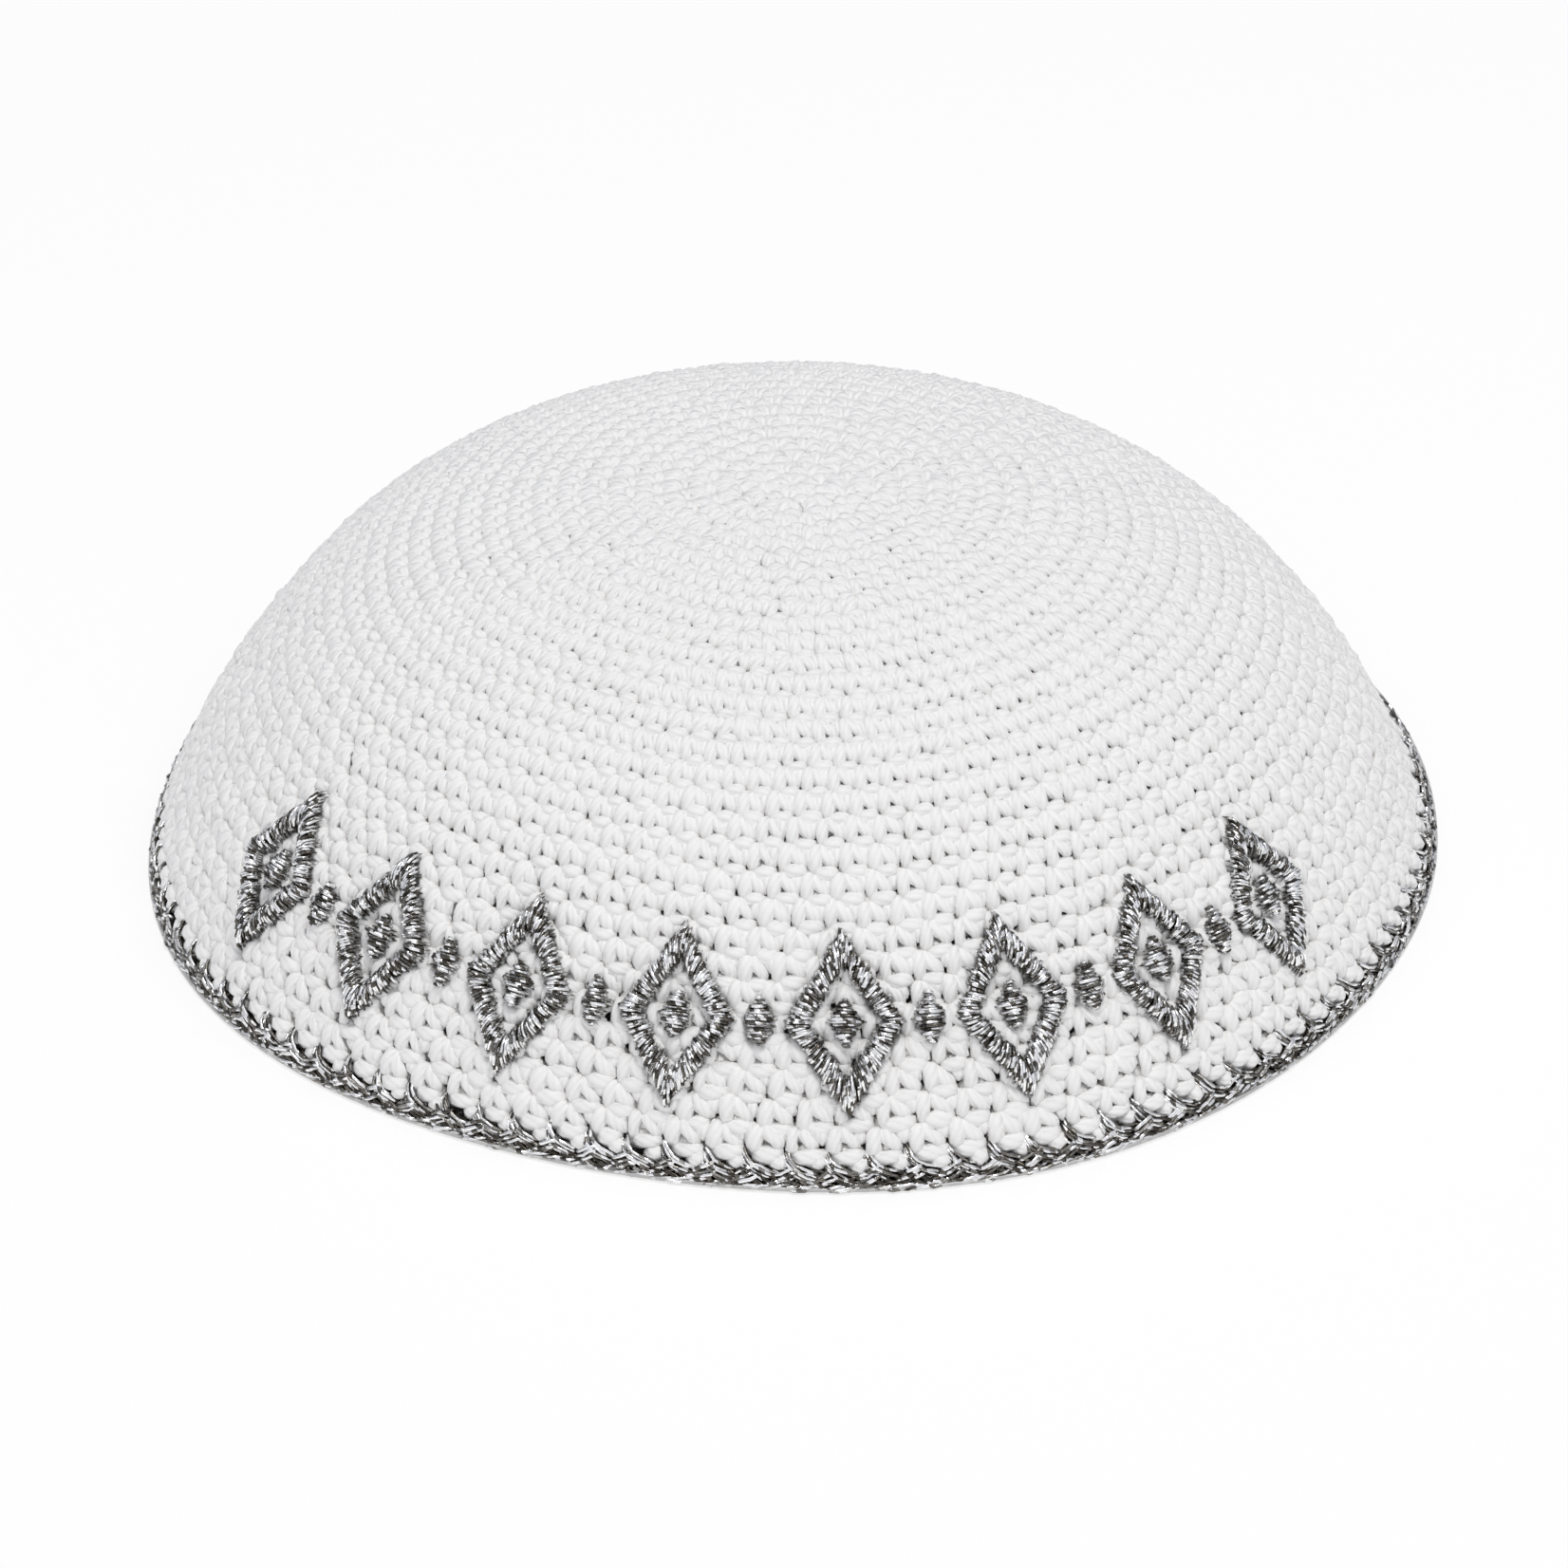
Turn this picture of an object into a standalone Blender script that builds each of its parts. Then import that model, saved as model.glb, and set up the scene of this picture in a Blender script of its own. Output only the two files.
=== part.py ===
"""A crocheted cotton kippah with a metallic edging and a band of silver embroidery.

Metres, +Z up. The origin is the centre of the rim, on the plane that the rim rests on. The
front, which carries the embroidery, faces -Y. An azimuth is 0 at the front and grows towards
+X. A place on the cloth is an arc, the way down the cloth from the apex, with an azimuth and a
lift, the height above the cloth's outer surface.
"""

from collections import namedtuple
import math

import bmesh
import bpy
import numpy as np
from mathutils import Vector

# Driving sizes
RIM_RADIUS = 0.085
CLOTH_THICKNESS = 0.003
PIECE_GAP = 0.0003

# The dome, from the apex to the rim: how steep it is at shares of the way down
Slope = namedtuple("Slope", "share degrees")
DOME_SLOPES = (
    Slope(share=0.00, degrees=0.0),
    Slope(share=0.17, degrees=1.6),
    Slope(share=0.34, degrees=14.5),
    Slope(share=0.50, degrees=30.0),
    Slope(share=0.67, degrees=48.0),
    Slope(share=0.84, degrees=57.4),
    Slope(share=1.00, degrees=67.3),
)

# The soft rim isn't a true circle: each wave pushes it out at its crests and in between them,
# and a front wave fades out towards the back
Wave = namedtuple("Wave", "lobes height crest_azimuth front_only")
RIM_WAVES = (
    Wave(lobes=2, height=0.0005, crest_azimuth=15.0, front_only=False),
    Wave(lobes=3, height=0.0009, crest_azimuth=-37.0, front_only=True),
    Wave(lobes=4, height=0.0017, crest_azimuth=22.5, front_only=True),
)

# The crochet: rounds of the crown, and the one metallic round of the edging
CROWN_ROUNDS = 30
ROUND_DEPTH = 0.0006
CROWN_COLUMNS = 48
INNER_RINGS = 12
EDGING_HEIGHT = 0.0036
EDGING_STITCHES = 107
EDGING_STITCH_DEPTH = 0.0006
EDGING_BULGE = 0.0002

# The embroidered band: open lozenges with a seed in each, and diamonds between them
LOZENGES = 8
BAND_FIRST_AZIMUTH = -57.0
BAND_LAST_AZIMUTH = 51.0
BAND_ARC = 0.0865
SATIN_HEIGHT = 0.0012
SATIN_STROKE = 0.0030
SATIN_TOP_SHARE = 0.55
LOZENGE_HALF_WIDTH = 0.0057
LOZENGE_HALF_HEIGHT = 0.0090
LOZENGE_SIDE_STEPS = 3
SEED_HALF_WIDTH = 0.0022
SEED_HALF_HEIGHT = 0.0028
DIAMOND_HALF_WIDTH = 0.0020
DIAMOND_HALF_HEIGHT = 0.0030
SMALL_SIDE_STEPS = 1

PROFILE_STEPS = 400
MERGE_DISTANCE = 1e-6

Finish = namedtuple("Finish", "name colour roughness metallic")
WHITE_COTTON = Finish(name="white_cotton", colour=(0.88, 0.88, 0.87), roughness=0.9, metallic=0.0)
METALLIC_YARN = Finish(name="metallic_yarn", colour=(0.42, 0.42, 0.40), roughness=0.35, metallic=0.9)
SILVER_THREAD = Finish(name="silver_thread", colour=(0.48, 0.48, 0.47), roughness=0.3, metallic=0.9)


def dome_profile():
    """Arc, radius, height and slope of the dome's outer surface, from the apex to the rim."""
    share = np.linspace(0.0, 1.0, PROFILE_STEPS)
    steepness = np.interp(share, [row.share for row in DOME_SLOPES], [row.degrees for row in DOME_SLOPES])
    slope = np.radians(steepness)
    step = share[1]
    middle = (slope[1:] + slope[:-1]) / 2
    radius = np.concatenate([[0.0], np.cumsum(np.cos(middle)) * step])
    drop = np.concatenate([[0.0], np.cumsum(np.sin(middle)) * step])
    size = RIM_RADIUS / radius[-1]
    return share * size, radius * size, (drop[-1] - drop) * size, slope


ARC, RADIUS, HEIGHT, SLOPE = dome_profile()
RIM_ARC = ARC[-1]
CROWN_ARC = RIM_ARC - EDGING_HEIGHT


def profile_point(arc, lift):
    """Radius and height of a point at an arc, lifted off the outer surface along its normal."""
    slope = np.interp(arc, ARC, SLOPE)
    radius = np.interp(arc, ARC, RADIUS) + lift * math.sin(slope)
    height = np.interp(arc, ARC, HEIGHT) + lift * math.cos(slope)
    return radius, height


def wave_scale(radius, azimuth):
    """How far the rim's waves stretch a radius: not at all at the apex, fully at the rim."""
    front_share = (1 + math.cos(azimuth)) / 2
    push = sum(
        wave.height
        * math.cos(wave.lobes * (azimuth - math.radians(wave.crest_azimuth)))
        * (front_share if wave.front_only else 1.0)
        for wave in RIM_WAVES
    )
    return 1 + push / RIM_RADIUS * (radius / RIM_RADIUS) ** 2


def cloth_point(arc, azimuth, lift):
    """A point on or above the cloth's outer surface, in the part's frame."""
    radius, height = profile_point(arc, lift)
    radius *= wave_scale(radius, azimuth)
    return Vector((radius * math.sin(azimuth), -radius * math.cos(azimuth), height))


def make_material(finish):
    """A Principled material of one finish."""
    material = bpy.data.materials.new(finish.name)
    material.use_nodes = True
    shader = material.node_tree.nodes["Principled BSDF"]
    shader.inputs["Base Color"].default_value = (*finish.colour, 1.0)
    shader.inputs["Roughness"].default_value = finish.roughness
    shader.inputs["Metallic"].default_value = finish.metallic
    material.diffuse_color = (*finish.colour, 1.0)
    return material


def add_object(name, mesh, material, parent, centre=Vector()):
    """Turns a closed bmesh into a named object whose origin is at its centre."""
    bmesh.ops.recalc_face_normals(mesh, faces=mesh.faces)
    bmesh.ops.translate(mesh, vec=-centre, verts=mesh.verts)
    data = bpy.data.meshes.new(name)
    mesh.to_mesh(data)
    mesh.free()
    data.shade_smooth()
    data.set_sharp_from_angle(angle=math.radians(50))
    data.materials.append(material)
    piece = bpy.data.objects.new(name, data)
    piece.location = centre
    piece.parent = parent
    bpy.context.collection.objects.link(piece)
    return piece


def spin_profile(points, columns, closed):
    """Spins a profile of (radius, height) points round the Z axis into a closed skin."""
    mesh = bmesh.new()
    corners = [mesh.verts.new((0.0, -radius, height)) for radius, height in points]
    ends = corners[1:] + corners[:1] if closed else corners[1:]
    edges = [mesh.edges.new(pair) for pair in zip(corners, ends)]
    bmesh.ops.spin(
        mesh,
        geom=corners + edges,
        cent=(0.0, 0.0, 0.0),
        axis=(0.0, 0.0, 1.0),
        angle=math.tau,
        steps=columns,
        use_merge=True,
    )
    bmesh.ops.remove_doubles(mesh, verts=mesh.verts, dist=MERGE_DISTANCE)
    return mesh


def push_waves(mesh):
    """Moves every vertex out or in with the rim's waves."""
    for vertex in mesh.verts:
        radius = math.hypot(vertex.co.x, vertex.co.y)
        scale = wave_scale(radius, math.atan2(vertex.co.x, -vertex.co.y))
        vertex.co.x *= scale
        vertex.co.y *= scale


def crown_mesh():
    """The hollow dome: a rib for each round outside, and a smooth inside."""
    pitch = CROWN_ARC / CROWN_ROUNDS
    outer = [profile_point(0.0, 0.0)]
    for number in range(CROWN_ROUNDS):
        outer.append(profile_point((number + 0.5) * pitch, 0.0))
        outer.append(profile_point((number + 1.0) * pitch, -ROUND_DEPTH))
    inner = [profile_point(arc, -CLOTH_THICKNESS) for arc in np.linspace(CROWN_ARC, 0.0, INNER_RINGS)]
    mesh = spin_profile(outer + inner, CROWN_COLUMNS, closed=False)
    push_waves(mesh)
    return mesh


def edging_mesh():
    """The metallic round: a bump for each stitch outside, and a flat foot at height 0."""
    top = CROWN_ARC + PIECE_GAP
    outer = [
        profile_point(top, -ROUND_DEPTH),
        profile_point(top + EDGING_HEIGHT * 0.25, EDGING_BULGE),
        profile_point(top + EDGING_HEIGHT * 0.65, EDGING_BULGE),
    ]
    foot_outer = (RIM_RADIUS, 0.0)
    inner_top = profile_point(top, -CLOTH_THICKNESS)
    rim_slope = SLOPE[-1]
    foot_inner = (inner_top[0] + inner_top[1] / math.tan(rim_slope), 0.0)
    mesh = spin_profile(outer + [foot_outer, foot_inner, inner_top], 2 * EDGING_STITCHES, closed=True)
    bumps = outer[1:]
    for vertex in mesh.verts:
        radius = math.hypot(vertex.co.x, vertex.co.y)
        if any(math.isclose(radius, bump[0], abs_tol=MERGE_DISTANCE) for bump in bumps):
            azimuth = math.atan2(vertex.co.x, -vertex.co.y)
            dent = EDGING_STITCH_DEPTH * (1 - math.cos(EDGING_STITCHES * azimuth)) / 2
            vertex.co.x *= 1 - dent / radius
            vertex.co.y *= 1 - dent / radius
    push_waves(mesh)
    return mesh


def lozenge_ring(mesh, azimuth, half_width, half_height, side_steps, lift):
    """A loop of vertices round a lozenge that lies on the band at one lift above the cloth."""
    corners = [(half_width, 0.0), (0.0, half_height), (-half_width, 0.0), (0.0, -half_height)]
    band_radius = profile_point(BAND_ARC, 0.0)[0]
    ring = []
    for start, end in zip(corners, corners[1:] + corners[:1]):
        for share in np.arange(side_steps) / side_steps:
            across = start[0] + (end[0] - start[0]) * share
            up = start[1] + (end[1] - start[1]) * share
            point = cloth_point(BAND_ARC - up, azimuth + across / band_radius, lift)
            ring.append(mesh.verts.new(point))
    return ring


def bridge_rings(mesh, first, second):
    """A strip of quads between two loops with as many vertices."""
    count = len(first)
    for index in range(count):
        following = (index + 1) % count
        mesh.faces.new((first[index], first[following], second[following], second[index]))


def open_lozenge_mesh(azimuth):
    """A satin-stitched outline of a lozenge, narrower at its top than at the cloth."""
    side_distance = (
        LOZENGE_HALF_WIDTH * LOZENGE_HALF_HEIGHT / math.hypot(LOZENGE_HALF_WIDTH, LOZENGE_HALF_HEIGHT)
    )
    half_stroke = SATIN_STROKE / 2 / side_distance
    low = PIECE_GAP
    high = PIECE_GAP + SATIN_HEIGHT
    section = (
        (1 + half_stroke, low),
        (1 + half_stroke * SATIN_TOP_SHARE, high),
        (1 - half_stroke * SATIN_TOP_SHARE, high),
        (1 - half_stroke, low),
    )
    mesh = bmesh.new()
    rings = [
        lozenge_ring(
            mesh, azimuth, LOZENGE_HALF_WIDTH * scale, LOZENGE_HALF_HEIGHT * scale, LOZENGE_SIDE_STEPS, lift
        )
        for scale, lift in section
    ]
    for first, second in zip(rings, rings[1:] + rings[:1]):
        bridge_rings(mesh, first, second)
    return mesh


def filled_lozenge_mesh(azimuth, half_width, half_height):
    """A small satin-stitched lozenge, filled, with a narrower top."""
    mesh = bmesh.new()
    low = lozenge_ring(mesh, azimuth, half_width, half_height, SMALL_SIDE_STEPS, PIECE_GAP)
    high = lozenge_ring(
        mesh,
        azimuth,
        half_width * SATIN_TOP_SHARE,
        half_height * SATIN_TOP_SHARE,
        SMALL_SIDE_STEPS,
        PIECE_GAP + SATIN_HEIGHT,
    )
    bridge_rings(mesh, low, high)
    mesh.faces.new(low)
    mesh.faces.new(high)
    return mesh


def build_embroidery(material, parent):
    """The band on the front: open lozenges with their seeds, and a diamond in each space."""
    azimuths = np.radians(np.linspace(BAND_FIRST_AZIMUTH, BAND_LAST_AZIMUTH, LOZENGES))
    for number, azimuth in enumerate(azimuths, start=1):
        centre = cloth_point(BAND_ARC, azimuth, 0.0)
        add_object(f"lozenge_{number}", open_lozenge_mesh(azimuth), material, parent, centre)
        seed = filled_lozenge_mesh(azimuth, SEED_HALF_WIDTH, SEED_HALF_HEIGHT)
        add_object(f"seed_{number}", seed, material, parent, centre)
    for number, azimuth in enumerate((azimuths[1:] + azimuths[:-1]) / 2, start=1):
        centre = cloth_point(BAND_ARC, azimuth, 0.0)
        diamond = filled_lozenge_mesh(azimuth, DIAMOND_HALF_WIDTH, DIAMOND_HALF_HEIGHT)
        add_object(f"diamond_{number}", diamond, material, parent, centre)


def build_kippah():
    """Clears the scene and builds every piece under one empty."""
    for leftover in list(bpy.data.objects):
        bpy.data.objects.remove(leftover)
    kippah = bpy.data.objects.new("kippah", None)
    bpy.context.collection.objects.link(kippah)
    add_object("crown", crown_mesh(), make_material(WHITE_COTTON), kippah)
    add_object("edging", edging_mesh(), make_material(METALLIC_YARN), kippah)
    build_embroidery(make_material(SILVER_THREAD), kippah)


build_kippah()
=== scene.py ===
"""The dressed kippah: real crochet yarn, a metallic edging and satin-stitched silver lozenges.

Metres, +Z up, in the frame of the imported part. The origin is the centre of the rim and the
front faces -Y. A place on the cloth is an arc, the way down the cloth from the apex, an azimuth,
0 at the front and growing towards +X, and a lift, the height above the cloth's outer surface.
"""

from __future__ import annotations

from dataclasses import dataclass, field
import logging
import math

import bpy
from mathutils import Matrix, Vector
import numpy as np

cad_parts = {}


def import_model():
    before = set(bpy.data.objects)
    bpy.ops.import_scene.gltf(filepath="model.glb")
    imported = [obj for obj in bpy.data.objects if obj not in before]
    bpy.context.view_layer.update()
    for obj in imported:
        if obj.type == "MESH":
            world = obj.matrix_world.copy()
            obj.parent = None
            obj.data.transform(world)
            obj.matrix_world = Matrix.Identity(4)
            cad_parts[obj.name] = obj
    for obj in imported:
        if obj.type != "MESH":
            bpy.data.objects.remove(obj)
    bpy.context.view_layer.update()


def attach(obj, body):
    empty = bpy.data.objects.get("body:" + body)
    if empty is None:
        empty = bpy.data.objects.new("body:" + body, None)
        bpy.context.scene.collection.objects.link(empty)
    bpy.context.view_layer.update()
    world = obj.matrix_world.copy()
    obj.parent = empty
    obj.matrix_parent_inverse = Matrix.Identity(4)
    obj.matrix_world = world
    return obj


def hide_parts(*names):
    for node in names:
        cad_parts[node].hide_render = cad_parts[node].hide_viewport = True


LOG = logging.getLogger("kippah")
MM = 0.001


def linear_colour(hex_code: str) -> tuple[float, float, float, float]:
    """Turns an sRGB hex colour into the linear RGBA that shaders take.

    Args:
        hex_code: Six hex digits, such as "F2F1EC".

    Returns:
        Linear red, green and blue with an alpha of 1.
    """
    parts = [int(hex_code[start:start + 2], 16) / 255 for start in (0, 2, 4)]
    linear = [part / 12.92 if part <= 0.04045 else ((part + 0.055) / 1.055) ** 2.4 for part in parts]
    return (linear[0], linear[1], linear[2], 1.0)


def fill_inputs(owner: bpy.types.Material | bpy.types.World, node: bpy.types.Node, **inputs: object) -> None:
    """Fills or links a shader node's inputs.

    Args:
        owner: The material or world that the node is in.
        node: The node.
        **inputs: A value, an output socket, or a node whose first output is meant, for each input,
            by its name with underscores for spaces, or by "in0", "in1" and so on for its place.
    """
    for name, value in inputs.items():
        by_place = name.startswith("in") and name[2:].isdigit()
        socket = node.inputs[int(name[2:]) if by_place else name.replace("_", " ")]
        if isinstance(value, bpy.types.Node):
            value = value.outputs[0]
        if isinstance(value, bpy.types.NodeSocket):
            owner.node_tree.links.new(value, socket)
        else:
            socket.default_value = value


def add_node(
    owner: bpy.types.Material | bpy.types.World, kind: str, settings: dict | None = None, **inputs: object
) -> bpy.types.Node:
    """Adds one shader node, sets its properties and fills or links its inputs.

    Args:
        owner: The material or world whose tree gets the node.
        kind: The node's type name.
        settings: Properties of the node itself.
        **inputs: Its inputs, as in fill_inputs.

    Returns:
        The new node.
    """
    node = owner.node_tree.nodes.new(kind)
    for name, value in (settings or {}).items():
        setattr(node, name, value)
    fill_inputs(owner, node, **inputs)
    return node


def new_material(name: str) -> tuple[bpy.types.Material, bpy.types.Node]:
    """Makes a node material, and returns it with its Principled BSDF."""
    material = bpy.data.materials.new(name)
    material.use_nodes = True
    return material, material.node_tree.nodes["Principled BSDF"]


def grid(rows: int, columns: int, closed: bool) -> tuple[np.ndarray, np.ndarray, np.ndarray]:
    """Works out the quads of a grid of points whose rows are rings.

    A point's number is its row times the columns, plus its column. A quad joins it to the next
    row's point, to the one after that in its row, and to the one after itself.

    Args:
        rows: How many rings there are.
        columns: How many points a ring has.
        closed: Whether the last ring joins the first.

    Returns:
        The number, the row and the share round its ring of each of the quads' four corners.
    """
    row, column = np.meshgrid(np.arange(rows if closed else rows - 1), np.arange(columns), indexing="ij")
    row = np.stack([row, row + 1, row + 1, row], axis=-1).reshape(-1, 4)
    column = np.stack([column, column, column + 1, column + 1], axis=-1).reshape(-1, 4)
    return (row % rows) * columns + column % columns, row, column / columns


@dataclass(frozen=True)
class Slope:
    """How steep the dome is at one share of the way from the apex to the rim."""

    share: float
    degrees: float


@dataclass(frozen=True)
class Wave:
    """One wave of the soft rim: its lobes, its height and the azimuth of its first crest."""

    lobes: int
    height: float
    crest_azimuth: float
    front_only: bool


@dataclass(frozen=True)
class Pull:
    """How the tight edging shapes the soft rim round one azimuth: in above it, and out along it."""

    azimuth: float
    reach: float
    inward: float
    outward: float


@dataclass
class Cloth:
    """The dome's outer surface, as a function of arc, azimuth and lift."""

    rim_radius: float = 85 * MM
    slopes: tuple[Slope, ...] = (
        Slope(share=0.00, degrees=0.0),
        Slope(share=0.17, degrees=1.6),
        Slope(share=0.34, degrees=14.5),
        Slope(share=0.50, degrees=30.0),
        Slope(share=0.67, degrees=48.0),
        Slope(share=0.84, degrees=57.4),
        Slope(share=1.00, degrees=67.3),
    )
    waves: tuple[Wave, ...] = (
        Wave(lobes=2, height=0.5 * MM, crest_azimuth=15.0, front_only=False),
        Wave(lobes=3, height=0.9 * MM, crest_azimuth=-37.0, front_only=True),
        Wave(lobes=4, height=1.7 * MM, crest_azimuth=22.5, front_only=True),
    )
    pulls: tuple[Pull, ...] = (
        Pull(azimuth=105.0, reach=68.0, inward=1.2 * MM, outward=0.0 * MM),
        Pull(azimuth=128.0, reach=44.0, inward=0.0 * MM, outward=2.6 * MM),
        Pull(azimuth=-104.0, reach=50.0, inward=0.2 * MM, outward=0.2 * MM),
    )
    pull_span: float = 5.5 * MM
    steps: int = 400

    def __post_init__(self) -> None:
        """Integrates the slopes into the profile's radius and height.

        Each short step down the cloth adds its slope's cosine to the radius and its sine to
        the drop, and all is then scaled until the last radius is the rim's.
        """
        share = np.linspace(0.0, 1.0, self.steps)
        shares = [row.share for row in self.slopes]
        steepness = np.interp(share, shares, [row.degrees for row in self.slopes])
        self.slope = np.radians(steepness)
        middle = (self.slope[1:] + self.slope[:-1]) / 2
        radius = np.concatenate([[0.0], np.cumsum(np.cos(middle)) * share[1]])
        drop = np.concatenate([[0.0], np.cumsum(np.sin(middle)) * share[1]])
        size = self.rim_radius / radius[-1]
        self.arc = share * size
        self.radius = radius * size
        self.height = (drop[-1] - drop) * size
        self.rim_arc = float(self.arc[-1])

    def radius_at(self, arc: np.ndarray | float) -> np.ndarray:
        """The surface's radius at an arc."""
        return np.interp(arc, self.arc, self.radius)

    def point(self, arc: np.ndarray, azimuth: np.ndarray, lift: np.ndarray) -> np.ndarray:
        """Places points on the cloth.

        The profile's radius and height are read at the arc and pushed along the profile's
        normal by the lift and the edging's pull, and the azimuth turns it round the axis. A
        wave is its height times the cosine of its lobes times the way round from its crest,
        and one at the front alone is also times half of 1 plus the azimuth's cosine. The waves
        stretch the radius, more so towards the rim, by the radius squared. Past the rim the
        profile goes on straight.

        Args:
            arc: Way down the cloth from the apex, in metres.
            azimuth: Angle from the front, in radians.
            lift: Height above the outer surface, in metres.

        Returns:
            The points, with one more axis of length 3.
        """
        arc, azimuth, lift = np.broadcast_arrays(arc, azimuth, lift)
        lift = lift + self.pulled(arc, azimuth)
        slope = np.interp(arc, self.arc, self.slope)
        over = np.maximum(arc - self.rim_arc, 0.0)
        radius = np.interp(arc, self.arc, self.radius) + over * np.cos(slope) + lift * np.sin(slope)
        height = np.interp(arc, self.arc, self.height) - over * np.sin(slope) + lift * np.cos(slope)
        push = np.zeros_like(radius)
        for wave in self.waves:
            crest = math.radians(wave.crest_azimuth)
            share = (1 + np.cos(azimuth)) / 2 if wave.front_only else 1.0
            push = push + wave.height * np.cos(wave.lobes * (azimuth - crest)) * share
        radius = radius * (1 + push / self.rim_radius * (radius / self.rim_radius) ** 2)
        return np.stack([radius * np.sin(azimuth), -radius * np.cos(azimuth), height], axis=-1)

    def pulled(self, arc: np.ndarray, azimuth: np.ndarray) -> np.ndarray:
        """How far the edging pulls the cloth along its normal, summed over the pulls.

        With x the height above the rim in spans, a pull is its outward part times e to the
        power -x, less its inward part times x times e to the power 1 - x. Both fade to
        either side as the square of a cosine, to nothing at the pull's reach.

        Args:
            arc: Way down the cloth from the apex, in metres.
            azimuth: Angle from the front, in radians.

        Returns:
            The pull at each point, outwards above zero, in metres.
        """
        above = np.maximum(self.rim_arc - arc, 0.0) / self.pull_span
        total = np.zeros_like(above)
        for pull in self.pulls:
            beside = (azimuth - math.radians(pull.azimuth) + math.pi) % math.tau - math.pi
            share = np.cos(np.minimum(np.abs(beside) / math.radians(pull.reach), 1.0) * math.pi / 2) ** 2
            total = total + share * (pull.outward * np.exp(-above) - pull.inward * above * np.exp(1 - above))
        return total

    def normal(self, arc: np.ndarray, azimuth: np.ndarray) -> np.ndarray:
        """The outward normal, taken from the profile's slope alone, since the waves are slight."""
        arc, azimuth = np.broadcast_arrays(arc, azimuth)
        slope = np.interp(arc, self.arc, self.slope)
        out = np.sin(slope)
        return np.stack([out * np.sin(azimuth), -out * np.cos(azimuth), np.cos(slope)], axis=-1)


@dataclass(frozen=True)
class Knot:
    """A point that a strand passes through.

    Across is in stitch widths and down in the rounds' pitches or the edging's units. The lift is
    in millimetres, and the girth is a share of the yarn's thickness.
    """

    across: float
    down: float
    lift: float
    girth: float


@dataclass(frozen=True)
class Strand:
    """One run of yarn in a stitch: its knots, and how finely it is swept.

    Its narrowest is the width of stitch below which there is no room for it, and it shortens by a
    share of its way down in the last rounds.
    """

    knots: tuple[Knot, ...]
    rings: int
    sides: int
    narrowest: float = 0.0
    shortens: float = 0.0

    def sampled(self) -> np.ndarray:
        """Reads a Catmull-Rom curve through the knots at evenly spaced parameters.

        Between two knots it is the cubic whose slope at each is half the step from the knot
        before it to the knot after it.

        Returns:
            Rows of across, down, lift and girth, with one column for each ring.
        """
        rows = np.array([[knot.across, knot.down, knot.lift, knot.girth] for knot in self.knots])
        place = np.linspace(0, len(rows) - 1, self.rings)
        start = np.minimum(place.astype(int), len(rows) - 2)
        part = (place - start)[:, None]
        before = rows[np.maximum(start - 1, 0)]
        here = rows[start]
        there = rows[start + 1]
        after = rows[np.minimum(start + 2, len(rows) - 1)]
        curve = 0.5 * (
            2 * here
            + (there - before) * part
            + (2 * before - 5 * here + 4 * there - after) * part**2
            + (3 * here - before - 3 * there + after) * part**3
        )
        return curve.T


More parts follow.
